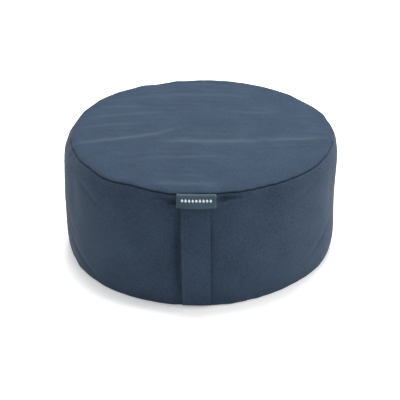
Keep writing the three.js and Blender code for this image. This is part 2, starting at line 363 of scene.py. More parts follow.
@dataclass(frozen=True)
class Hulls:
    """A heap of dry buckwheat hulls: small angular husks, dark brown with paler edges."""

    name: str
    colour: Colour
    size: float = 5 * MM

    def material(self) -> bpy.types.Material:
        """Builds the material on the object's coordinates."""
        surface = Surface(self.name, Specular_IOR_Level=0.4)
        place = surface.here()
        cells = surface.node("ShaderNodeTexVoronoi", inputs={"Vector": place, "Scale": 1.0 / self.size})
        edge = Wire(surface, cells.outputs["Distance"])
        pick = surface.add("ShaderNodeSeparateXYZ", inputs={0: Wire(surface, cells.outputs["Color"])})
        husk = surface.blend(pick, tinted(self.colour, 0.55), tinted(self.colour, 1.7))
        surface.paint(surface.blend(edge.clamped(), husk, tinted(self.colour, 0.4)))
        surface.roughen(0.5 + pick * 0.35)
        surface.emboss(1 - edge, 2.5 * MM)
        return surface.material


@dataclass(frozen=True)
class Plate:
    """Nickel-plated zinc with fine scratches and duller hollows."""

    name: str
    colour: Colour
    roughness: float = 0.3

    def material(self) -> bpy.types.Material:
        """Builds the material on the object's coordinates."""
        surface = Surface(self.name, Metallic=1.0)
        place = surface.here()
        scratches = surface.noise(place, 0.4 * MM, detail=4.0, stretch=(8, 8, 1))
        dull = surface.noise(place, 6 * MM)
        surface.paint(surface.blend(dull, tinted(self.colour, 0.75), tinted(self.colour, 1.1)))
        surface.roughen(self.roughness + dull * 0.15 + scratches * 0.15)
        surface.emboss(scratches, 0.02 * MM, 0.4)
        return surface.material


@dataclass(frozen=True)
class Nylon:
    """Extruded nylon, as in a zip's coil, or twisted thread."""

    name: str
    colour: Colour
    roughness: float = 0.45

    def material(self) -> bpy.types.Material:
        """Builds the material on the object's coordinates."""
        surface = Surface(self.name, Specular_IOR_Level=0.45)
        place = surface.here()
        variation = surface.noise(place, 1.2 * MM, detail=3.0)
        surface.paint(surface.blend(variation, tinted(self.colour, 0.75), tinted(self.colour, 1.3)))
        surface.roughen(self.roughness + variation * 0.2)
        surface.emboss(variation, 0.05 * MM, 0.5)
        return surface.material


class Finish(Enum):
    """Every finish on the cushion, and the record's slot that each belongs to."""

    CANVAS = (Canvas("navy_canvas", (0.0215, 0.0370, 0.0625)), "canvas")
    HANDLE_CANVAS = (Canvas("handle_canvas", (0.0205, 0.0355, 0.0610)), "handle_canvas")
    LABEL = (
        Ribbon("label_weave", (0.026, 0.050, 0.072), rib=0.45 * MM, selvedge_and_highlight_from=24.6 * MM),
        "label_weave",
    )
    MOTIF = (Nylon("motif_thread", (0.52, 0.55, 0.57), 0.6), "label_weave")
    TAPE = (Ribbon("zip_tape", (0.016, 0.028, 0.050)), "zip_tape")
    COIL = (Nylon("zip_coil", (0.018, 0.031, 0.056)), "zip_coil")
    THREAD = (Nylon("navy_thread", (0.040, 0.062, 0.100), 0.7), "canvas")
    HANDLE_THREAD = (Nylon("handle_thread", (0.036, 0.056, 0.090), 0.7), "handle_canvas")
    METAL = (Plate("nickel_plate", (0.32, 0.32, 0.33)), "zip_metal")
    MUSLIN = (Muslin("muslin", (0.72, 0.66, 0.54)), "muslin")
    SATIN = (Muslin("satin_ribbon", (0.80, 0.80, 0.78), 0.4 * MM), "satin")
    HULLS = (Hulls("buckwheat_hulls", (0.10, 0.055, 0.030)), "hulls")


class Wardrobe:
    """Makes each finish's material once and dresses pieces in it."""

    def __init__(self) -> None:
        """Starts with no material made."""
        self.made: dict[Finish, bpy.types.Material] = {}

    def material(self, finish: Finish) -> bpy.types.Material:
        """Returns the finish's material, made the first time it is asked for."""
        if finish not in self.made:
            self.made[finish] = finish.value[0].material()
        return self.made[finish]

    def dress(self, piece: bpy.types.Object, finish: Finish) -> bpy.types.Object:
        """Gives a piece a finish all over."""
        piece.data.materials.clear()
        piece.data.materials.append(self.material(finish))
        return piece


# Shapes


def turned(radius: np.ndarray, turn: np.ndarray) -> tuple[np.ndarray, np.ndarray]:
    """Returns x and y at a radius and a turn round the drum."""
    return radius * np.sin(turn), -radius * np.cos(turn)


def smooth_step(value: np.ndarray, low: float, high: float) -> np.ndarray:
    """Rises smoothly from 0 at low to 1 at high."""
    share = np.clip((value - low) / (high - low), 0.0, 1.0)
    return share * share * (3.0 - 2.0 * share)


def ripple(turn: np.ndarray, waves: range, seed: int) -> np.ndarray:
    """Returns smooth random waves that close on themselves round the drum.

    Args:
        turn: where to read them.
        waves: how many waves go round, from the longest to the shortest.
        seed: picks the waves' sizes and places.

    Returns:
        Values of about -1 to 1.
    """
    pick = np.random.default_rng(seed)
    total = np.zeros_like(turn)
    for count in waves:
        total = total + pick.normal() * np.cos(count * turn + pick.uniform(0, math.tau))
    return total / math.sqrt(len(waves))


def between(first: np.ndarray, second: np.ndarray) -> np.ndarray:
    """Returns the turn from second to first by the shorter way round."""
    return (first - second + math.pi) % math.tau - math.pi


def add_mesh(
    name: str, points: np.ndarray, faces: Sequence[Sequence[int]], flat: np.ndarray | None
) -> bpy.types.Object:
    """Makes an object from points, faces and, where there is one, each point's place on the flat cloth."""
    mesh = bpy.data.meshes.new(name)
    mesh.from_pydata(points.reshape(-1, 3).tolist(), [], [list(face) for face in faces])
    if flat is not None:
        corners = np.zeros(len(mesh.loops), np.int32)
        mesh.loops.foreach_get("vertex_index", corners)
        layer = mesh.uv_layers.new(name=CLOTH_MAP)
        layer.data.foreach_set("uv", flat.reshape(-1, 2)[corners].astype(np.float32).ravel())
    mesh.shade_smooth()
    piece = bpy.data.objects.new(name, mesh)
    bpy.context.scene.collection.objects.link(piece)
    return piece


def grid_faces(rows: int, columns: int, closed: bool) -> list[tuple[int, int, int, int]]:
    """Returns the quads of a grid whose points run along each row, and whose rows may close on themselves."""
    wide = columns if closed else columns - 1
    faces = []
    for i in range(rows - 1):
        near, far = i * columns, (i + 1) * columns
        for j in range(wide):
            after = (j + 1) % columns
            faces.append((near + j, near + after, far + after, far + j))
    return faces


def finished(piece: bpy.types.Object, *modifiers: tuple[str, dict[str, Any]]) -> bpy.types.Object:
    """Adds modifiers to a piece and applies them, so that it ends as a plain mesh.

    Args:
        piece: the object to change.
        modifiers: each modifier's type and its settings.

    Returns:
        The same object.
    """
    for kind, settings in modifiers:
        modifier = piece.modifiers.new(kind.lower(), kind)
        for key, value in settings.items():
            setattr(modifier, key, value)
    graph = bpy.context.evaluated_depsgraph_get()
    solid = piece.evaluated_get(graph)
    mesh = bpy.data.meshes.new_from_object(solid, preserve_all_data_layers=True, depsgraph=graph)
    piece.modifiers.clear()
    piece.data = mesh
    return piece


def outward(piece: bpy.types.Object) -> None:
    """Turns the faces of a closed or nearly closed piece outwards."""
    work = bmesh.new()
    work.from_mesh(piece.data)
    bmesh.ops.recalc_face_normals(work, faces=work.faces)
    work.to_mesh(piece.data)
    work.free()


def paint(piece: bpy.types.Object, name: str, values: np.ndarray) -> None:
    """Stores a value from 0 to 1 at each point of a piece, under a name that its material reads."""
    layer = piece.data.attributes.new(name, "FLOAT", "POINT")
    layer.data.foreach_set("value", values.astype(np.float32).ravel())


@dataclass(frozen=True)
class Fold:
    """A soft fold that stands up from the top panel, steeper on its front side."""

    path: tuple[tuple[float, float], ...]
    height: float
    width: float
    wear_and_highlight: float  # how strongly its crest is painted paler, from 0 to 1: partly wear, partly a painted highlight
    lean: float = 2.2

    def line(self, steps: int = 14) -> np.ndarray:
        """Returns points along a smooth curve through the path."""
        points = np.array([self.path[0], *self.path, self.path[-1]], float)
        shares = np.linspace(0, 1, steps, endpoint=False)[:, None]
        pieces = []
        for a, b, c, d in zip(points, points[1:], points[2:], points[3:]):
            square, cube = 2 * a - 5 * b + 4 * c - d, 3 * b - a - 3 * c + d
            pieces.append(0.5 * (2 * b + (c - a) * shares + square * shares**2 + cube * shares**3))
        return np.vstack([*pieces, points[-1:]])

    def rise(self, x: np.ndarray, y: np.ndarray) -> tuple[np.ndarray, np.ndarray]:
        """Returns how far the cloth stands up at each place, and how near it is to the crest, from 0 to 1."""
        line = self.line()
        apart = np.hypot(x[..., None] - line[:, 0], y[..., None] - line[:, 1])
        nearest = apart.argmin(-1)
        distance = apart.min(-1)
        share = nearest / (len(line) - 1)
        taper = np.clip(np.minimum(share, 1 - share) * 4.0, 0.0, 1.0) ** 0.7
        behind = y > line[nearest, 1]
        width = np.where(behind, self.width * self.lean, self.width)
        swell = np.exp(-((distance / width) ** 2)) * taper
        crest = np.zeros_like(distance)
        for strength, spread in ((0.62, 0.3), (0.38, 1.1)):  # paler paint along the crest, a thin line in a broader glow: partly wear, partly a painted highlight
            crest = crest + strength * np.exp(-((distance / (spread * self.width)) ** 2)) * taper
        return self.height * swell, crest


MEAN_RADIUS = 0.19  # of the side, for turning an angle round it into a length


@dataclass(frozen=True)
class Dent:
    """A soft hollow or swelling in the side, centred at a turn and a height, and level or sloping."""

    turn: float
    height: float
    width: float
    tall: float
    depth: float
    slope: float = 0.0  # how far it climbs for each metre round the side

    def depth_at(self, turn: np.ndarray, height: np.ndarray) -> np.ndarray:
        """Returns how far the side is pushed in at each place."""
        away = between(turn, self.turn)
        climbed = height - self.height - self.slope * away * MEAN_RADIUS
        return self.depth * np.exp(-((away / self.width) ** 2) - (climbed / self.tall) ** 2)


@dataclass
class DrumForm:
    """The stuffed drum's outer shape, with the slack, folds and puckers of its cloth."""

    seam_radius: float
    bulge_radius: float
    foot_radius: float
    side_height: float
    crown_top: float
    base: float = 0.0
    drift: float = 2.7 * MM  # the top seam sits this far towards +X
    slack: float = 0.9 * MM  # how far the side wanders in and out
    wander: float = 0.8 * MM  # how far the top seam wanders in and out
    shoulder_rise: float = 3.2 * MM
    shoulder_width: float = 8 * MM
    folds: tuple[Fold, ...] = (
        Fold(
            ((-0.180, -0.050), (-0.134, -0.043), (-0.094, -0.034), (-0.062, -0.022), (-0.022, 0.002)),
            5.0 * MM, 13 * MM, 0.7,
        ),
        Fold(
            ((-0.058, -0.043), (-0.019, -0.046), (0.022, -0.051), (0.058, -0.049), (0.100, -0.043)),
            5.2 * MM, 13 * MM, 0.8,
        ),
        Fold(((0.080, -0.046), (0.118, -0.040), (0.150, -0.036), (0.183, -0.027)), 4.4 * MM, 12 * MM, 0.65),
        Fold(
            ((-0.110, -0.108), (-0.031, -0.100), (0.012, -0.096), (0.060, -0.104)),
            3.2 * MM, 15 * MM, 0.25,
        ),
        Fold(((-0.060, -0.168), (-0.034, -0.169), (0.001, -0.171), (0.030, -0.177)), 1.6 * MM, 7 * MM, 0.6),
        Fold(((-0.150, 0.073), (-0.122, 0.077), (-0.090, 0.076)), 1.2 * MM, 7 * MM, 0.4),
        Fold(((-0.165, 0.036), (-0.106, 0.049), (-0.050, 0.053)), 1.6 * MM, 10 * MM, 0.45),
        Fold(((-0.172, 0.002), (-0.131, 0.010), (-0.080, 0.010)), 1.4 * MM, 10 * MM, 0.3),
        Fold(((-0.150, 0.100), (-0.048, 0.118), (0.022, 0.118), (0.080, 0.112)), 2.6 * MM, 13 * MM, 0.35),
        Fold(((0.150, 0.006), (0.184, 0.002)), 1.6 * MM, 4.5 * MM, 0.3),
        Fold(((0.148, -0.010), (0.184, -0.011)), 1.6 * MM, 4.5 * MM, 0.4),
        Fold(((0.142, 0.021), (0.180, 0.018)), 1.2 * MM, 4.5 * MM, 0.3),
        Fold(((0.130, 0.040), (0.170, 0.046)), 1.2 * MM, 6 * MM, 0.2),
        Fold(((0.020, 0.060), (0.075, 0.052), (0.120, 0.060)), 1.6 * MM, 13 * MM, 0.25),
        Fold(((-0.060, 0.160), (-0.010, 0.166), (0.050, 0.158)), 2.6 * MM, 14 * MM, 0.2),
    )
    settled: BVHTree | None = None
    dips: tuple[tuple[float, float, float], ...] = (  # where the top seam sags: turn, width and depth
        (math.radians(-41), math.radians(9), 3.2 * MM),
        (math.radians(-10), math.radians(6), 1.6 * MM),
        (math.radians(128), math.radians(14), 0.6 * MM),
        (math.radians(-128), math.radians(24), -3.4 * MM),
        (math.radians(172), math.radians(18), -1.2 * MM),
    )
    dents: tuple[Dent, ...] = (
        Dent(math.radians(-9.2), 0.1610, math.radians(2.4), 4.6 * MM, 5.5 * MM),
        Dent(math.radians(-13.0), 0.1640, math.radians(3.0), 2.6 * MM, 2.4 * MM),
        Dent(math.radians(9.6), 0.1632, math.radians(2.6), 3.2 * MM, 6.0 * MM),
        Dent(math.radians(14.5), 0.1642, math.radians(4.4), 2.6 * MM, 3.6 * MM),
        Dent(math.radians(-6.4), 0.086, math.radians(2.0), 66 * MM, 4.6 * MM),
        Dent(math.radians(-24), 0.150, math.radians(5), 14 * MM, 1.0 * MM),
        Dent(math.radians(27), 0.146, math.radians(7), 16 * MM, 1.0 * MM),
        Dent(math.radians(-88), 0.174, math.radians(34), 10 * MM, 5.0 * MM),
        Dent(math.radians(88), 0.173, math.radians(26), 9 * MM, 1.6 * MM),
        Dent(math.radians(-66), 0.046, math.radians(13), 4.0 * MM, 1.3 * MM, -0.5),
        Dent(math.radians(-58), 0.028, math.radians(12), 3.6 * MM, 1.0 * MM, -0.4),
        Dent(math.radians(-72), 0.078, math.radians(9), 4.6 * MM, 1.1 * MM, -0.6),
        Dent(math.radians(-50), 0.140, math.radians(9), 4.0 * MM, 0.8 * MM, -0.35),
        Dent(math.radians(62), 0.054, math.radians(12), 4.4 * MM, 0.9 * MM, 0.45),
        Dent(math.radians(44), 0.143, math.radians(9), 4.0 * MM, 0.7 * MM, 0.3),
        Dent(math.radians(-62), 0.120, math.radians(4), 40 * MM, 1.2 * MM),
        Dent(math.radians(70), 0.110, math.radians(4), 40 * MM, 1.0 * MM),
        Dent(math.radians(40), 0.0, math.radians(18), 30 * MM, 2.6 * MM),
        Dent(math.radians(-42), 0.0, math.radians(20), 26 * MM, -1.6 * MM),
        Dent(math.radians(75), 0.03, math.radians(14), 26 * MM, -1.8 * MM),
    )

    @classmethod
    def from_frame(cls) -> "DrumForm":
        """Reads the drum's size from the frame."""
        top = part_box("cover_top_panel")[1]
        return cls(
            seam_radius=top.x,
            bulge_radius=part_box("cover_front_band")[1].x,
            foot_radius=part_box("cover_bottom_panel")[1].x,
            side_height=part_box("cover_front_band")[1].z,
            crown_top=top.z,
        )

    def inner(self) -> "DrumForm":
        """Returns the liner's plain form, which keeps clear of the cover's dips and folds."""
        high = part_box("liner_top_panel")[1]
        return DrumForm(
            seam_radius=high.x - 2 * MM,
            bulge_radius=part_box("liner_side_band")[1].x,
            foot_radius=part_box("liner_bottom_panel")[1].x,
            side_height=self.side_height - 7 * MM,
            crown_top=high.z - 6 * MM,
            base=2.5 * MM,
            drift=0.0,
            slack=0.0,
            wander=0.0,
            shoulder_rise=2 * MM,
            folds=(),
            dips=(),
            dents=(),
        )

    def wall(self, height: np.ndarray) -> np.ndarray:
        """Returns the plain drum's radius at a height."""
        upper_fullness, lower_fullness = 7, 5
        middle = self.side_height / 2
        reach = (height - middle) / middle
        above = (self.bulge_radius - self.seam_radius) * abs(reach) ** upper_fullness
        below = (self.bulge_radius - self.foot_radius) * abs(reach) ** lower_fullness
        return self.bulge_radius - np.where(height > middle, above, below)

    def sag(self, turn: np.ndarray) -> np.ndarray:
        """Returns how far the top seam sits below its plain height."""
        total = 0.5 * MM * ripple(turn, range(5, 17), 11)
        for where, width, depth in self.dips:
            total = total + depth * np.exp(-((between(turn, where) / width) ** 2))
        return total

    def puckers(self, turn: np.ndarray, away: np.ndarray, seed: int) -> np.ndarray:
        """Returns the small gathers beside a seam, which die away with distance from it."""
        fine_depth, fine_reach, broad_depth, broad_reach = 0.42 * MM, 7 * MM, 0.7 * MM, 22 * MM
        fine = ripple(turn, range(38, 74), seed) * np.exp(-away / fine_reach)
        broad = ripple(turn, range(13, 30), seed + 1) * np.exp(-away / broad_reach)
        patchy = 0.35 + 0.65 * np.clip(ripple(turn, range(2, 7), seed + 2) + 0.3, 0.0, 1.0)
        return (fine_depth * fine + broad_depth * broad) * patchy

    def side(self, turn: np.ndarray, height: np.ndarray, depth: np.ndarray | float = 0.0) -> np.ndarray:
        """Returns points on the side, or a depth behind it."""
        near_top = smooth_step(height, 0.45 * self.side_height, self.side_height)
        belly = np.sin(math.pi * np.clip(height / self.side_height, 0, 1))
        from_back = abs(between(turn, np.full_like(turn, math.pi)))
        taut_beside_zip = smooth_step(from_back, math.radians(76), math.radians(95))
        slack = self.slack * ripple(turn, range(3, 9), 21) * belly * taut_beside_zip
        radius = self.wall(height) + slack - depth
        radius = radius + self.puckers(turn, self.side_height - height, 31) * smooth_step(height, 0.02, 0.06)
        radius = radius + 0.8 * self.puckers(turn, height, 41) * (1 - near_top)
        radius = radius + self.wander * ripple(turn, range(3, 10), 51) * near_top
        for dent in self.dents:
            radius = radius - dent.depth_at(turn, height)
        x, y = turned(radius, turn)
        return np.stack([x + self.drift * near_top, y, height - self.sag(turn) * near_top], -1)

    def top(self, share: np.ndarray, turn: np.ndarray) -> tuple[np.ndarray, np.ndarray]:
        """Returns points on the top panel and how strongly each is painted paler along the fold crests,
        partly for wear and partly as a painted highlight.

        Args:
            share: how far out each point is, from 0 in the middle to 1 at the seam.
            turn: each point's turn.
        """
        edge = self.side(turn, np.full_like(turn, self.side_height))
        x, y = edge[..., 0] * share, edge[..., 1] * share
        away = (1 - share) * self.seam_radius
        lip = np.clip(away / self.shoulder_width, 0.0, 1.0)
        shoulder = self.shoulder_rise * np.sqrt(1 - (1 - lip) ** 2)
        rise = self.crown_top - self.side_height - self.shoulder_rise
        crown = rise * (1 - share**2.6)
        level = self.side_height - (self.side_height - edge[..., 2]) * share**6
        calm = smooth_step(away, 0.0, 12 * MM)
        spots = zip(5 * x.ravel(), 15 * y.ravel())
        swell = np.array([noise.noise((*spot, 3.0)) for spot in spots]).reshape(x.shape)
        lift = 1.8 * MM * swell * calm + self.puckers(turn, away, 61) * smooth_step(away, 0.0, 6 * MM)
        # Paler paint along the fold crests: partly wear, partly a painted highlight.
        crest_wear_and_highlight = np.zeros_like(x)
        for fold in self.folds:
            stand, crest = fold.rise(x, y)
            lift = lift + stand * (0.25 + 0.75 * calm)
            crest_wear_and_highlight = np.maximum(crest_wear_and_highlight, crest * fold.wear_and_highlight)
        return np.stack([x, y, level + shoulder + crown + lift], -1), crest_wear_and_highlight

    def settled_top(self, share: np.ndarray, turn: np.ndarray) -> tuple[np.ndarray, np.ndarray]:
        """Returns top(), with the folds as the cloth settled where it has been left to."""
        points, crest_wear_and_highlight = self.top(share, turn)
        if self.settled is None:
            return points, crest_wear_and_highlight
        down = Vector((0, 0, -1))
        none_within, all_beyond = 6 * MM, 16 * MM
        away = (1 - share) * self.seam_radius
        weight = smooth_step(away, none_within, all_beyond)
        for place in map(tuple, np.argwhere(away > none_within)):
            x, y, z = points[place]
            hit = self.settled.ray_cast(Vector((x, y, 1.0)), down)[0]
            if hit is not None:
                points[place][2] = z + weight[place] * (hit.z - z)
        return points, crest_wear_and_highlight


@dataclass(frozen=True)
class Drape:
    """Lets the top panel's cloth settle on the filling, held round its seam, by cloth simulation."""

    cells: int = 68
    inset: float = 5 * MM  # from the seam to where the cloth is held
    slack: tuple[float, float] = (0.001, 0.007)  # spare cloth from side to side and from front to back
    frames: int = 22
    quality: int = 10
    mass: float = 0.05
    air_damping: float = 4.0
    cap: float = 6 * MM  # the furthest that a point may move
    stiffness: float = 30.0
    bending: float = 4.0
    clearance: float = 0.8 * MM
    bed_drop: float = 1.6 * MM  # how far the filling lies below the cloth
    friction: float = 20.0

    def settle(self, form: DrumForm) -> BVHTree:
        """Runs the simulation.

        Args:
            form: the drum, whose folds the cloth starts from.

        Returns:
            The settled cloth, for looking its height up.
        """
        u, v = np.meshgrid(np.linspace(-1, 1, self.cells), np.linspace(-1, 1, self.cells))
        x, y = u * np.sqrt(1 - v**2 / 2), v * np.sqrt(1 - u**2 / 2)
        share, turn = np.clip(np.hypot(x, y), 1e-6, 1.0), np.arctan2(x, -y)
        start, _ = form.top(share * (1 - self.inset / form.seam_radius), turn)
        faces = grid_faces(self.cells, self.cells, closed=False)
        bed = self.bed(form, start, faces)
        cloth = add_mesh("settling_cloth", start, faces, None)
        cloth.shape_key_add(name="placed")
        cut = cloth.shape_key_add(name="cut")
        size = form.seam_radius * (1 - self.inset / form.seam_radius)
        wide, deep = (1 + spare for spare in self.slack)
        pattern = np.stack([x * size * wide, y * size * deep, 0 * x + form.crown_top], -1)
        cut.data.foreach_set("co", pattern.astype(np.float32).ravel())
        held = cloth.vertex_groups.new(name="held")
        rim = np.flatnonzero((np.maximum(np.abs(u), np.abs(v)) > 1 - 1e-6).ravel())
        held.add(rim.tolist(), 1.0, "REPLACE")
        ended = self.run(cloth, cut).reshape(start.shape)
        for piece in (cloth, bed):
            bpy.data.objects.remove(piece)
        shift = ended - start
        far = np.linalg.norm(shift, axis=-1, keepdims=True)
        log.info("cloth settled: moved %.1f mm at most", far.max() / MM)
        settled = start + shift * np.minimum(1.0, self.cap / np.maximum(far, 1e-9))
        smooth = add_mesh("settled_cloth", settled, faces, None)
        finished(smooth, ("SUBSURF", {"levels": 2, "render_levels": 2}))
        tree = BVHTree.FromObject(smooth, bpy.context.evaluated_depsgraph_get())
        bpy.data.objects.remove(smooth)
        return tree

    def run(self, cloth: bpy.types.Object, cut: bpy.types.ShapeKey) -> np.ndarray:
        """Steps the cloth to its last frame and returns where its points end.

        Args:
            cloth: the cloth, with a vertex group "held" of the points that stay put.
            cut: the shape key that holds its unstretched pattern.
        """
        modifier = cloth.modifiers.new("cloth", "CLOTH")
        settings = modifier.settings
        settings.quality = self.quality
        settings.mass = self.mass
        settings.air_damping = self.air_damping
        settings.tension_stiffness = settings.compression_stiffness = self.stiffness
        settings.shear_stiffness = self.stiffness / 3
        settings.bending_stiffness = self.bending
        settings.vertex_group_mass = "held"
        settings.rest_shape_key = cut
        modifier.collision_settings.distance_min = self.clearance
        modifier.collision_settings.use_self_collision = False
        modifier.point_cache.frame_end = self.frames
        scene = bpy.context.scene
        for number in range(1, self.frames + 1):
            scene.frame_set(number)
        mesh = cloth.evaluated_get(bpy.context.evaluated_depsgraph_get()).to_mesh()
        ended = np.zeros(len(mesh.vertices) * 3)
        mesh.vertices.foreach_get("co", ended)
        scene.frame_set(1)
        return ended

    def bed(self, form: DrumForm, start: np.ndarray, faces: Sequence[Sequence[int]]) -> bpy.types.Object:
        """Makes the smooth filling that the cloth rests on."""
        plain = replace(form, folds=())
        x, y = start[..., 0] - form.drift, start[..., 1]
        share = np.clip(np.hypot(x, y) / form.seam_radius, 1e-6, 0.98)
        level, _ = plain.top(share, np.arctan2(x, -y))
        points = start.copy()
        points[..., 2] = level[..., 2] - self.bed_drop
        bed = add_mesh("filling_bed", points, faces, None)
        bed.modifiers.new("collision", "COLLISION")
        bed.collision.thickness_outer = self.clearance
        bed.collision.cloth_friction = self.friction
        return bed


# Pieces


@dataclass
class Case:
    """A sewn drum of cloth: a round top and bottom panel, and side panels between them."""

    form: DrumForm
    wardrobe: Wardrobe
    finish: Finish
    cloth: float = 1 * MM
    step: float = 2.6 * MM
    roll: float = 1.3 * MM  # radius of the cloth's turn into a seam
    tuck: float = 3.2 * MM  # how far the cloth shows inside a seam

    def keep(self, piece: bpy.types.Object, *nodes: str) -> bpy.types.Object:
        """Gives a panel its thickness and finish, on the cushion's body, in place of its nodes."""
        finished(piece, ("SOLIDIFY", {"thickness": self.cloth, "offset": -1.0}))
        self.wardrobe.dress(piece, self.finish)
        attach(piece, ROOT)
        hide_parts(*nodes)
        log.info("%s: %d faces", piece.name, len(piece.data.polygons))
        return piece

    def seam_roll(self, away: np.ndarray) -> np.ndarray:
        """Returns how far the cloth has turned in at a distance from its seam."""
        inside = np.clip(1 - away / self.roll, 0.0, 1.0)
        return self.roll * (1 - np.sqrt(1 - inside**2))

    def inside_seam(self, away: np.ndarray) -> np.ndarray:
        """Returns how deep in the seam each place is, from 0 on the open cloth to 1."""
        return 1 - smooth_step(away, 0.1 * self.roll, 0.7 * self.roll)

    def rows(self, low: float, high: float) -> np.ndarray:
        """Returns heights for a panel's rows, closer together where it turns in at its edges."""
        edge = np.array([0.0, 0.08, 0.25, 0.5, 0.8]) * self.roll
        middle = np.linspace(low + self.roll, high - self.roll, max(4, round((high - low) / self.step)))
        return np.concatenate([low + edge, middle, (high - edge)[::-1]])

    def side_panel(
        self, name: str, turns: tuple[float, float], heights: tuple[float, float], *nodes: str
    ) -> bpy.types.Object:
        """Makes a side panel whose four edges all turn in.

        Args:
            name: the piece's name.
            turns: its first and last turn, in degrees.
            heights: its lowest and highest edge.
            nodes: the nodes that it stands for.

        Returns:
            The finished panel.
        """
        first, last = (math.radians(turn) for turn in turns)
        radius = self.form.bulge_radius
        arc = self.rows(first * radius, last * radius)
        level = self.rows(*heights)
        turn, height = np.meshgrid(arc / radius, level)
        to_edge = np.minimum(height - heights[0], heights[1] - height)
        to_end = np.minimum((turn - first) * radius, (last - turn) * radius)
        depth = self.seam_roll(to_edge) + self.seam_roll(to_end)
        points = self.form.side(turn, height, depth)
        flat = np.stack([turn * radius, height], -1)
        for axis in (0, 1):
            points, flat = self.tucked(points, flat, axis)
        piece = add_mesh(name, points, grid_faces(*points.shape[:2], closed=False), flat)
        # Painted shade: the turn into each seam is painted darker.
        inside = self.inside_seam(np.minimum(to_edge, to_end))
        paint(piece, SEAM_SHADE, np.pad(inside, 1, constant_values=1.0))
        return self.keep(piece, *nodes)

    def tucked(self, points: np.ndarray, flat: np.ndarray, axis: int) -> tuple[np.ndarray, np.ndarray]:
        """Adds a row beyond each end of a grid, straight in towards the drum's axis."""
        ends, flats = [], []
        for index in (0, -1):
            row = np.take(points, [index], axis).copy()
            away = np.hypot(row[..., 0], row[..., 1])
            row[..., :2] *= (1 - self.tuck / away)[..., None]
            ends.append(row)
            flats.append(np.take(flat, [index], axis))
        return (
            np.concatenate([ends[0], points, ends[1]], axis),
            np.concatenate([flats[0], flat, flats[1]], axis),
        )

    def top_panel(self, name: str, node: str) -> bpy.types.Object:
        """Makes the crowned top panel, which turns down into the top seam."""
        form = self.form
        count = round(math.tau * form.seam_radius / self.step)
        turns = np.arange(count) / count * math.tau
        lip = np.array([9.5, 7.5, 5.8, 4.3, 3.0, 2.0, 1.2, 0.6, 0.2, 0.0]) * MM
        inner = np.linspace(0.004, 1 - 0.012 / form.seam_radius, round(form.seam_radius / self.step))
        share, turn = np.meshgrid(np.concatenate([inner, 1 - lip / form.seam_radius]), turns, indexing="ij")
        points, crest_wear_and_highlight = form.settled_top(share, turn)
        under = points[-1:].copy()
        under[..., :2] *= 1 - (self.roll + self.tuck) / form.seam_radius
        under[..., 2] += 0.2 * MM
        points = np.concatenate([points, under])
        piece = self.disc(name, points)
        # Fold crests painted paler: partly wear, partly a painted highlight.
        paint(piece, CREST_WEAR_AND_HIGHLIGHT, np.append(np.concatenate([crest_wear_and_highlight, crest_wear_and_highlight[-1:]]).ravel(), crest_wear_and_highlight[0, 0]))
        # Painted shade: the turn into the top seam is painted darker.
        inside = self.inside_seam((1 - share) * form.seam_radius)
        paint(piece, SEAM_SHADE, np.append(np.concatenate([inside, np.ones_like(inside[:1])]).ravel(), 0.0))
        return self.keep(piece, node)

    def bottom_panel(self, name: str, node: str) -> bpy.types.Object:
        """Makes the flat bottom panel, which turns up into the bottom seam."""
        form = self.form
        count = round(math.tau * form.foot_radius / (2 * self.step))
        turns = np.arange(count) / count * math.tau
        edge = form.side(turns, np.full_like(turns, 0.0))
        radius = np.hypot(edge[:, 0], edge[:, 1]) - 0.4 * MM
        lip = 2.6 * MM
        rows = [(share * radius, 0.0) for share in np.linspace(0.01, 1.0, 30) * (1 - lip / form.foot_radius)]
        for quarter in np.linspace(0.15, 1.0, 6) * math.pi / 2:
            rows.append((radius - lip * (1 - math.sin(quarter)), lip * (1 - math.cos(quarter))))
        rows.append((radius - self.tuck, lip + 0.2 * MM))
        rings = [np.stack([*turned(away, turns), np.full_like(turns, level)], -1) for away, level in rows]
        points = np.stack(rings)
        points[..., 2] += form.base
        return self.keep(self.disc(name, points), node)

    def disc(self, name: str, points: np.ndarray) -> bpy.types.Object:
        """Joins rings of points into a round panel that faces away from the drum's middle."""
        rows, count = points.shape[:2]
        middle = rows * count
        centre = points[0].mean(0)
        faces = grid_faces(rows, count, closed=True) + [(middle, (j + 1) % count, j) for j in range(count)]
        if centre[2] > self.form.side_height / 2:
            faces = [face[::-1] for face in faces]
        everything = np.vstack([points.reshape(-1, 3), centre])
        return add_mesh(name, everything, faces, everything[:, :2])


class Cover(Case):
    """The canvas cover: its back is two strips, above and below the zip."""

    front_reach = 106.0  # degrees from the front to where the front band ends
    zip_height = 85 * MM
    zip_opening = 5 * MM  # from the zip's middle to each strip's folded edge
    stitch_margin = 3 * MM
    hem = 1.5 * MM
    seam_gap = 0.5 * MM

    def build(self, rows: "RowMaker") -> None:
        """Makes every panel and the topstitching beside the zip."""
        top = self.form.side_height - self.seam_gap
        back = (self.front_reach, 360 - self.front_reach)
        below, above = self.zip_height - self.zip_opening, self.zip_height + self.zip_opening
        self.top_panel("top_panel", "cover_top_panel")
        self.bottom_panel("bottom_panel", "cover_bottom_panel")
        front = (-self.front_reach, self.front_reach)
        self.side_panel("front_band", front, (self.hem, top), "cover_front_band")
        self.side_panel("back_strip_upper", back, (above, top), "cover_back_strip_upper")
        self.side_panel("back_strip_lower", back, (self.hem, below), "cover_back_strip_lower")
        for name, height in (("upper", above + self.stitch_margin), ("lower", below - self.stitch_margin)):
            row = rows.along_side(f"zip_stitches_{name}", self.form, back, height)
            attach(row, ROOT)


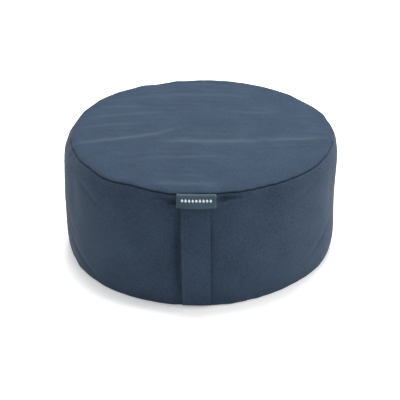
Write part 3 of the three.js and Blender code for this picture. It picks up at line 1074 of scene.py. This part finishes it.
class Liner(Case):
    """The cotton liner, with a shorter zip than the cover's."""

    slot_reach = 45.5  # degrees either side of the back
    zip_height = 126 * MM
    zip_opening = 3.5 * MM

    def build(self) -> None:
        """Makes every panel."""
        top = self.form.side_height
        back = (180 - self.slot_reach, 180 + self.slot_reach)
        node = "liner_side_band"
        self.top_panel("liner_top", "liner_top_panel")
        self.bottom_panel("liner_bottom", "liner_bottom_panel")
        front = (self.slot_reach - 180, 180 - self.slot_reach)
        self.side_panel("liner_front", front, (self.form.base, top), node)
        self.side_panel("liner_back_upper", back, (self.zip_height + self.zip_opening, top), node)
        self.side_panel("liner_back_lower", back, (self.form.base, self.zip_height - self.zip_opening), node)


class Bead(Enum):
    """The small shapes that rows repeat, each with the node that makes it and that node's inputs."""

    STITCH = ("GeometryNodeMeshUVSphere", {"Segments": 6, "Rings": 5, "Radius": 0.5})
    TOOTH = ("GeometryNodeMeshUVSphere", {"Segments": 8, "Rings": 5, "Radius": 0.5})
    LOZENGE = (
        "GeometryNodeMeshCone",
        {"Vertices": 4, "Radius Top": 0.32, "Radius Bottom": 0.5, "Depth": 1.0},
    )


OUT = "out"
ALONG = "along"


@dataclass
class RowMaker:
    """Repeats small shapes along paths that lie on the cloth."""

    wardrobe: Wardrobe
    stitch: tuple[float, float, float] = (2.3 * MM, 0.55 * MM, 0.45 * MM)
    pitch: float = 3 * MM
    trees: dict[Bead, bpy.types.NodeTree] = field(default_factory=dict)

    def tree(self, bead: Bead) -> bpy.types.NodeTree:
        """Returns the geometry tree that repeats a bead, made the first time it is asked for.

        Args:
            bead: the small shape.

        Returns:
            A tree with the inputs Places, Size and Finish. It puts the bead on every place, with its height
            along the place's outward direction and its length along the row.
        """
        if bead in self.trees:
            return self.trees[bead]
        group = bpy.data.node_groups.new(f"{bead.name.lower()}_row", "GeometryNodeTree")
        for label, kind in (("Places", "Geometry"), ("Size", "Vector"), ("Finish", "Material")):
            group.interface.new_socket(name=label, in_out="INPUT", socket_type=f"NodeSocket{kind}")
        group.interface.new_socket(name="Row", in_out="OUTPUT", socket_type="NodeSocketGeometry")
        tree = Tree(group)
        given = tree.node("NodeGroupInput").outputs
        kind, sizes = bead.value
        sized = tree.add(
            "GeometryNodeTransform",
            inputs={"Geometry": tree.add(kind, inputs=sizes), "Scale": Wire(tree, given["Size"])},
        )
        vector = {"data_type": "FLOAT_VECTOR"}
        turn = tree.add(
            "FunctionNodeAxesToRotation",
            {"primary_axis": "Z", "secondary_axis": "X"},
            {
                0: tree.add("GeometryNodeInputNamedAttribute", vector, {"Name": OUT}),
                1: tree.add("GeometryNodeInputNamedAttribute", vector, {"Name": ALONG}),
            },
        )
        row = tree.add(
            "GeometryNodeInstanceOnPoints",
            inputs={"Points": Wire(tree, given["Places"]), "Instance": sized, "Rotation": turn},
        )
        real = tree.add("GeometryNodeRealizeInstances", inputs={0: row})
        smooth = tree.add("GeometryNodeSetShadeSmooth", inputs={0: real})
        finish = Wire(tree, given["Finish"])
        dressed = tree.add("GeometryNodeSetMaterial", inputs={0: smooth, "Material": finish})
        tree.node("NodeGroupOutput", inputs={0: dressed})
        self.trees[bead] = group
        return group

    def make(
        self,
        name: str,
        bead: Bead,
        finish: Finish,
        size: tuple[float, float, float],
        places: np.ndarray,
        out: np.ndarray,
        along: np.ndarray,
    ) -> bpy.types.Object:
        """Makes one row.

        Args:
            name: the piece's name.
            bead: the small shape.
            finish: its finish.
            size: its length along the row, its width and its height.
            places: where each one stands.
            out: the outward direction at each place.
            along: the row's direction at each place.

        Returns:
            The row as a plain mesh.
        """
        row = add_mesh(name, places, [], None)
        for label, values in ((OUT, out), (ALONG, along)):
            layer = row.data.attributes.new(label, "FLOAT_VECTOR", "POINT")
            layer.data.foreach_set("vector", values.astype(np.float32).ravel())
        tree = self.tree(bead)
        modifier = row.modifiers.new("row", "NODES")
        modifier.node_group = tree
        wanted = {"Size": size, "Finish": self.wardrobe.material(finish)}
        for item in tree.interface.items_tree:
            if item.name in wanted:
                modifier[item.identifier] = wanted[item.name]
        finished(row)
        log.info("%s: %d places", name, len(places))
        return row

    def stitches(self, name: str, finish: Finish, line: np.ndarray, out: np.ndarray) -> bpy.types.Object:
        """Makes a row of stitches along a line of points, evenly spaced.

        Args:
            name: the piece's name.
            finish: the thread's finish.
            line: points along the row.
            out: the outward direction at each point.

        Returns:
            The row.
        """
        run = np.append(0.0, np.cumsum(np.linalg.norm(np.diff(line, axis=0), axis=1)))
        stops = np.arange(self.pitch, run[-1] - self.pitch / 2, self.pitch)
        places, facing = (
            np.stack([np.interp(stops, run, values[:, axis]) for axis in range(3)], -1)
            for values in (line, out)
        )
        return self.make(name, Bead.STITCH, finish, self.stitch, places, facing, np.gradient(places, axis=0))

    def along_side(
        self, name: str, form: DrumForm, turns: tuple[float, float], height: float
    ) -> bpy.types.Object:
        """Makes a row of stitches round the side at one height, between two turns in degrees."""
        turn = np.radians(np.arange(turns[0] + 0.5, turns[1] - 0.5, 0.5))
        line = form.side(turn, np.full_like(turn, height))
        out = np.stack([*turned(np.ones_like(turn), turn), np.zeros_like(turn)], -1)
        return self.stitches(name, Finish.THREAD, line, out)


def bevelled(node: str, body: str, wardrobe: Wardrobe, finish: Finish, width: float) -> bpy.types.Object:
    """Makes a copy of a plain node with softened edges, in its place."""
    work = bmesh.new()
    work.from_mesh(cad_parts[node].data)
    bmesh.ops.remove_doubles(work, verts=work.verts, dist=1e-6)
    bmesh.ops.dissolve_limit(work, angle_limit=math.radians(4), verts=work.verts, edges=work.edges)
    mesh = bpy.data.meshes.new(node)
    work.to_mesh(mesh)
    work.free()
    mesh.shade_smooth()
    piece = bpy.data.objects.new(f"{node}_plated", mesh)
    bpy.context.scene.collection.objects.link(piece)
    finished(
        piece,
        ("BEVEL", {"width": width, "segments": 2, "limit_method": "ANGLE", "harden_normals": True}),
    )
    wardrobe.dress(piece, finish)
    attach(piece, body)
    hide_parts(node)
    return piece


@dataclass
class Zip:
    """A coil zip that runs round the back of a drum: tapes, teeth, end stops, a slider and its pull."""

    form: DrumForm
    wardrobe: Wardrobe
    rows: RowMaker
    name: str
    height: float
    half_angle: float
    slider: str
    pull: str
    scale: float = 1.0
    overrun: float = 1.8  # degrees that the tapes run on past the teeth
    tape_depth: float = 1.6 * MM
    tape_cloth: float = 0.7 * MM
    tooth_pitch: float = 1.5 * MM
    tooth: tuple[float, float, float] = (1.15 * MM, 3.4 * MM, 1.5 * MM)
    tooth_lean: float = 0.18

    def build(self) -> None:
        """Makes every piece of the zip."""
        for side, sign in (("upper", 1), ("lower", -1)):
            self.tape(side, sign)
            self.teeth(side, sign)
        bodies = {"stop_closed": ROOT, "stop_open": ROOT, "slider": self.slider, "pull": self.pull}
        for part, body in bodies.items():
            bevelled(f"{self.name}_{part}", body, self.wardrobe, Finish.METAL, 0.22 * MM * self.scale)

    def tape(self, side: str, sign: int) -> None:
        """Makes one woven tape, with a beaded inner edge."""
        reach = math.radians(self.half_angle + self.overrun)
        turn = np.linspace(math.pi - reach, math.pi + reach, 180)
        away = np.array([0.1, 0.7, 1.4, 2.5, 4.5, 7, 9.5, 12, 12.8]) * MM * self.scale
        bead = 0.3 * MM * np.exp(-(((away / self.scale - 4.5 * MM) / (0.8 * MM)) ** 2))
        turn, away = np.meshgrid(turn, away)
        points = self.form.side(turn, self.height + sign * away, self.tape_depth - bead[:, None])
        flat = np.stack([away, turn * self.form.bulge_radius], -1)
        faces = grid_faces(*points.shape[:2], closed=False)
        faces = faces if sign > 0 else [face[::-1] for face in faces]
        piece = add_mesh(f"{self.name}_{side}_tape", points, faces, flat)
        finished(piece, ("SOLIDIFY", {"thickness": self.tape_cloth, "offset": -1.0}))
        self.wardrobe.dress(piece, Finish.TAPE)
        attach(piece, ROOT)
        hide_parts(f"{self.name}_tape_{side}")

    def teeth(self, side: str, sign: int) -> None:
        """Makes one side of the coil, whose loops sit between the other side's."""
        radius = self.form.bulge_radius
        reach = math.radians(self.half_angle)
        pitch = self.tooth_pitch * self.scale / radius
        turn = np.arange(math.pi - reach, math.pi + reach, pitch) + (pitch / 2 if sign > 0 else 0.0)
        away = sign * 1.25 * MM * self.scale
        places = self.form.side(turn, np.full_like(turn, self.height + away), 0.75 * MM)
        out = np.stack([*turned(np.ones_like(turn), turn), np.zeros_like(turn)], -1)
        lean = np.full_like(turn, sign * self.tooth_lean)
        along = np.stack([np.cos(turn), np.sin(turn), lean], -1)
        size = tuple(value * self.scale for value in self.tooth)
        row = self.rows.make(f"{self.name}_{side}_teeth", Bead.TOOTH, Finish.COIL, size, places, out, along)
        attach(row, ROOT)
        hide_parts(f"{self.name}_coil_{side}")


@dataclass
class Handle:
    """The carry handle: a strip of folded canvas, sewn into the top and bottom seams with some slack."""

    form: DrumForm
    wardrobe: Wardrobe
    rows: RowMaker
    width: float = 38 * MM
    thickness: float = 1.6 * MM
    clearance: float = 0.5 * MM
    slack: float = 5.0 * MM
    twist: float = 5.6 * MM  # how much further out the left edge stands than the right
    stitch_margin: float = 3 * MM
    tuck: float = 4 * MM

    def __post_init__(self) -> None:
        """Reads the handle's ends from the frame."""
        self.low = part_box("handle_lower_end")[0].z
        self.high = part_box("handle_upper_end")[1].z
        self.middle = (self.low + self.high) / 2

    def reach(self, across: np.ndarray, height: np.ndarray) -> np.ndarray:
        """Returns how far in front of the drum's axis the handle's inner face is."""
        share = np.clip((height - self.low) / (self.high - self.low), 0.0, 1.0)
        swell = np.sin(math.pi * share)
        curve = self.form.wall(height) * (1 - np.cos(np.abs(across) / self.form.bulge_radius))
        lean = self.twist * swell**0.9 * (0.5 - across / self.width)
        wave = 0.35 * MM * np.sin(height / (13 * MM)) * swell * (across / self.width)
        return self.form.wall(height) - 0.5 * curve + self.clearance + self.slack * swell**0.8 + lean + wave

    def section(self) -> tuple[np.ndarray, np.ndarray]:
        """Returns the strip's closed outline as places across it and heights above its inner face."""
        edge = self.thickness / 2
        flat = np.linspace(-1, 1, 33) * (self.width / 2 - edge)
        quarter = np.linspace(-math.pi / 2, math.pi / 2, 7)[1:-1]
        across = np.concatenate([
            flat,
            self.width / 2 - edge + edge * np.cos(quarter[::-1]),
            flat[::-1],
            -self.width / 2 + edge - edge * np.cos(quarter),
        ])
        from_stitches = np.abs(flat) - self.width / 2 + self.stitch_margin
        groove = 0.22 * MM * np.exp(-((from_stitches / (0.7 * MM)) ** 2))
        above = np.concatenate([
            self.thickness - groove,
            edge + edge * np.sin(quarter[::-1]),
            0 * flat,
            edge + edge * np.sin(quarter),
        ])
        return across, above

    def half(
        self, name: str, low: float, high: float, nodes: tuple[str, ...], inner: float, fixed: float
    ) -> None:
        """Makes the upper or lower half with its edge stitching.

        Args:
            name: upper or lower.
            low: its lowest point.
            high: its highest point.
            nodes: the nodes that it stands for.
            inner: a height in the slack; not used.
            fixed: a height below the label; not used.
        """
        across, above = self.section()
        height = np.linspace(low, high, 44)
        x, z = np.meshgrid(across, height)
        y = -(self.reach(x, z) + above)
        points = np.stack([x, y, z], -1)
        end = points[:1].copy() if name == "lower" else points[-1:].copy()
        end[..., 1] += self.tuck
        points = np.concatenate([end, points] if name == "lower" else [points, end])
        flat = np.stack([x, z], -1)
        flat = np.concatenate([flat[:1], flat] if name == "lower" else [flat, flat[-1:]])
        rows, count = points.shape[:2]
        faces = grid_faces(rows, count, closed=True)
        faces += [list(range(count))[::-1], [(rows - 1) * count + j for j in range(count)]]
        piece = add_mesh(f"handle_{name}", points, faces, flat)
        outward(piece)
        piece.data.set_sharp_from_angle(angle=math.radians(60))
        self.wardrobe.dress(piece, Finish.HANDLE_CANVAS)
        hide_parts(*nodes)
        pieces = [piece]
        for edge, side in (("left", -1), ("right", 1)):
            line_x = np.full_like(height, side * (self.width / 2 - self.stitch_margin))
            line_y = -(self.reach(line_x, height) + self.thickness - 0.15 * MM)
            line = np.stack([line_x, line_y, height], -1)
            out = np.tile([0.0, -1.0, 0.0], (len(line), 1))
            row = f"handle_{name}_{edge}_stitches"
            pieces.append(self.rows.stitches(row, Finish.HANDLE_THREAD, line, out))
        for each in pieces:
            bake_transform(each)

    def build(self) -> None:
        """Makes both halves, which meet at the middle of the slack."""
        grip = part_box("handle_grip")
        self.half(
            "lower",
            self.low,
            self.middle,
            ("handle_lower_end",),
            inner=grip[0].z + 25 * MM,
            fixed=self.low + 6 * MM,
        )
        self.half(
            "upper",
            self.middle,
            self.high,
            ("handle_upper_end", "handle_grip"),
            inner=grip[1].z - 22 * MM,
            fixed=self.high - 17 * MM,  # below the label, which hangs in front
        )


@dataclass
class Label:
    """The woven label: a folded ribbon caught in the top seam, bowed out in front of the handle."""

    wardrobe: Wardrobe
    rows: RowMaker
    form: DrumForm
    drop: float = 14.6 * MM
    lean: float = 6.0 * MM
    bow: float = 3.6 * MM
    root: float = 3.6 * MM  # how far in front of the seam the ribbon starts
    gap: float = 0.9 * MM  # between the ribbon's two layers
    cloth: float = 0.35 * MM
    centre: float = 1 * MM
    motifs: int = 9

    def __post_init__(self) -> None:
        """Reads the label's width and top edge from the frame."""
        low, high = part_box("woven_label")
        self.width = high.x - low.x
        self.top = high.z

    def front(self, across: np.ndarray, share: np.ndarray) -> np.ndarray:
        """Returns points on the front layer, at a place across it and a share of the way down."""
        bow = self.bow * (1 - (2 * across / self.width) ** 2)
        reach = self.form.wall(np.full_like(share, self.top)) + self.root
        reach = reach + self.lean * share**0.85 + bow * share**1.2
        return np.stack([across + self.centre, -reach, self.top - self.drop * share], -1)

    def build(self) -> None:
        """Makes the folded ribbon and the motif woven into it."""
        down = np.concatenate([[-0.12], np.linspace(0, 1, 16)])
        across = np.linspace(-0.5, 0.5, 41) * self.width
        x, share = np.meshgrid(across, down)
        front = self.front(x, np.clip(share, 0, None))
        front[0, :, 1] += 3 * MM
        front[0, :, 2] += 0.2 * MM
        back = front[::-1].copy()
        back[..., 1] += self.gap
        fold = []
        for turn in np.linspace(0, math.pi, 7)[1:-1]:
            row = front[-1:].copy()
            row[..., 1] += self.gap / 2 * (1 - math.cos(turn))
            row[..., 2] -= self.gap / 2 * math.sin(turn)
            fold.append(row)
        points = np.concatenate([front, *fold, back])
        length = np.append(0, np.cumsum(np.linalg.norm(np.diff(points[:, 20], axis=0), axis=-1)))
        flat = np.stack(np.broadcast_arrays(across[None], length[:, None]), -1)
        ribbon = add_mesh("label_ribbon", points, grid_faces(*points.shape[:2], closed=False), flat)
        outward(ribbon)
        finished(ribbon, ("SOLIDIFY", {"thickness": self.cloth, "offset": -1.0}))
        self.wardrobe.dress(ribbon, Finish.LABEL)
        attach(ribbon, "label")
        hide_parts("woven_label")
        places = np.linspace(-1, 1, self.motifs) * 18.5 * MM
        middle = np.full_like(places, 0.42)
        spots = self.front(places, middle)
        down_way = self.front(places, middle + 0.05) - spots
        side_way = self.front(places + 0.5 * MM, middle) - spots
        out = np.cross(down_way, side_way)
        out /= np.linalg.norm(out, axis=1)[:, None]
        size = (3.9 * MM, 4.6 * MM, 0.25 * MM)
        proud = spots + out * 0.1 * MM
        row = self.rows.make("label_motif", Bead.LOZENGE, Finish.MOTIF, size, proud, out, side_way)
        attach(row, "label")


@dataclass
class Filling:
    """The buckwheat hulls, as one mass with a knobbly surface."""

    form: DrumForm
    wardrobe: Wardrobe
    gap: float = 2 * MM
    hull: float = 5 * MM
    relief: float = 0.8 * MM
    rings: int = 50
    columns: int = 330

    def build(self) -> None:
        """Makes the mass as one closed drum."""
        form = self.form
        low, high = form.base + self.gap, form.side_height - self.gap
        out = form.seam_radius - 3 * self.gap
        crown = form.crown_top - self.gap - high
        across, back_across = np.linspace(0.01, 0.98, self.rings), np.linspace(0.98, 0.01, self.rings)
        up = np.linspace(low + 4 * MM, high - 4 * MM, self.rings)
        profile = [(share * out, low) for share in across]
        profile += [(float(form.wall(np.array(z))) - 2 * self.gap, z) for z in up]
        profile += [(share * out, high + crown * (1 - share**2.6)) for share in back_across]
        turns = np.arange(self.columns) / self.columns * math.tau
        points = np.stack([np.stack([*turned(r + 0 * turns, turns), z + 0 * turns], -1) for r, z in profile])
        bumps = [self.relief * noise.noise(Vector(p) / self.hull) for p in points.reshape(-1, 3)]
        points = points * (1 + np.array(bumps).reshape(points.shape[:2])[..., None] / out)
        rows, count = points.shape[:2]
        faces = grid_faces(rows, count, closed=True)
        faces += [list(range(count))[::-1], [(rows - 1) * count + j for j in range(count)]]
        heap = add_mesh("hull_heap", points, faces, None)
        outward(heap)
        self.wardrobe.dress(heap, Finish.HULLS)
        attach(heap, ROOT)
        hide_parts("hull_fill")


FLOOR_HALF_SIDE = 9.0
FLOOR_GLOW = 0.36  # lifts the soft shadow round the base
SKY_STRENGTH = 0.38
SOFTBOXES = (  # name, place, side and power
    ("overhead_softbox", (0.1, 0.42, 2.4), 0.9, 83.0),
    ("right_softbox", (2.2, -0.4, 1.2), 1.3, 36.0),
    ("left_softbox", (-2.2, 0.8, 0.8), 1.2, 12.0),
)


def set_stage() -> None:
    """Lays the floor, hangs the lights and places the camera."""
    scene = bpy.context.scene
    scene.view_settings.view_transform = "Standard"
    half, below = FLOOR_HALF_SIDE, -0.3 * MM
    signs = ((-1, -1), (1, -1), (1, 1), (-1, 1))
    corners = np.array([[x * half, y * half, below] for x, y in signs])
    floor = add_mesh("floor", corners, [(0, 1, 2, 3)], None)
    paper = Surface(
        "white_paper",
        Roughness=0.9,
        Specular_IOR_Level=0.1,
        Emission_Color=(1, 1, 1, 1),
        Emission_Strength=FLOOR_GLOW,
    )
    grain = paper.noise(paper.here(), 10 * MM)
    paper.paint(paper.blend(grain, (0.9, 0.9, 0.9), (0.92, 0.92, 0.92)))
    floor.data.materials.append(paper.material)
    world = bpy.data.worlds.new("studio")
    world.use_nodes = True
    sky = world.node_tree.nodes["Background"]
    sky.inputs["Color"].default_value = (1, 1, 1, 1)
    sky.inputs["Strength"].default_value = SKY_STRENGTH
    scene.world = world
    for softbox in SOFTBOXES:
        add_softbox(*softbox)
    add_camera()


def add_softbox(name: str, place: tuple[float, float, float], size: float, power: float) -> None:
    """Hangs a square soft light that faces the cushion."""
    data = bpy.data.lights.new(name, "AREA")
    data.shape = "SQUARE"
    data.size = size
    data.energy = power
    light = bpy.data.objects.new(name, data)
    light.location = place
    light.rotation_euler = (Vector((0, 0, 0.1)) - light.location).to_track_quat("-Z", "Y").to_euler()
    bpy.context.scene.collection.objects.link(light)


def add_camera() -> None:
    """Places the camera in front of the handle, looking down on the cushion."""
    distance, azimuth, elevation, roll = 1.75, math.radians(1.6), math.radians(28.0), -0.0074
    target = Vector((0.0003, 0.0, 0.0616))
    reach = distance * math.cos(elevation)
    offset = Vector((reach * math.sin(azimuth), -reach * math.cos(azimuth), distance * math.sin(elevation)))
    data = bpy.data.cameras.new("camera")
    data.sensor_width = 36.0
    data.lens = 107.2
    camera = bpy.data.objects.new("camera", data)
    camera.location = target + offset
    camera.rotation_euler = ((-offset).to_track_quat("-Z", "Y") @ Quaternion((0, 0, 1), roll)).to_euler()
    bpy.context.scene.collection.objects.link(camera)
    bpy.context.scene.camera = camera


def main() -> None:
    """Builds the cushion piece by piece and sets the stage round it."""
    logging.basicConfig(level=logging.INFO, format="%(name)s: %(message)s")
    wardrobe = Wardrobe()
    rows = RowMaker(wardrobe)
    outside = DrumForm.from_frame()
    inside = outside.inner()
    outside.settled = Drape().settle(outside)
    Cover(outside, wardrobe, Finish.CANVAS).build(rows)
    Handle(outside, wardrobe, rows).build()
    Label(wardrobe, rows, outside).build()
    Zip(outside, wardrobe, rows, "cover_zip", Cover.zip_height, 72.0, "cover_slider", "cover_pull").build()
    Liner(inside, wardrobe, Finish.MUSLIN, cloth=0.6 * MM, step=5 * MM).build()
    on_liner = "liner_slider"
    Zip(inside, wardrobe, rows, "liner_zip", Liner.zip_height, 44.0, on_liner, on_liner, 0.8).build()
    Filling(inside, wardrobe).build()
    wardrobe.dress(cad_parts["care_label"], Finish.SATIN)
    set_stage()


if __name__ == "__main__":
    main()
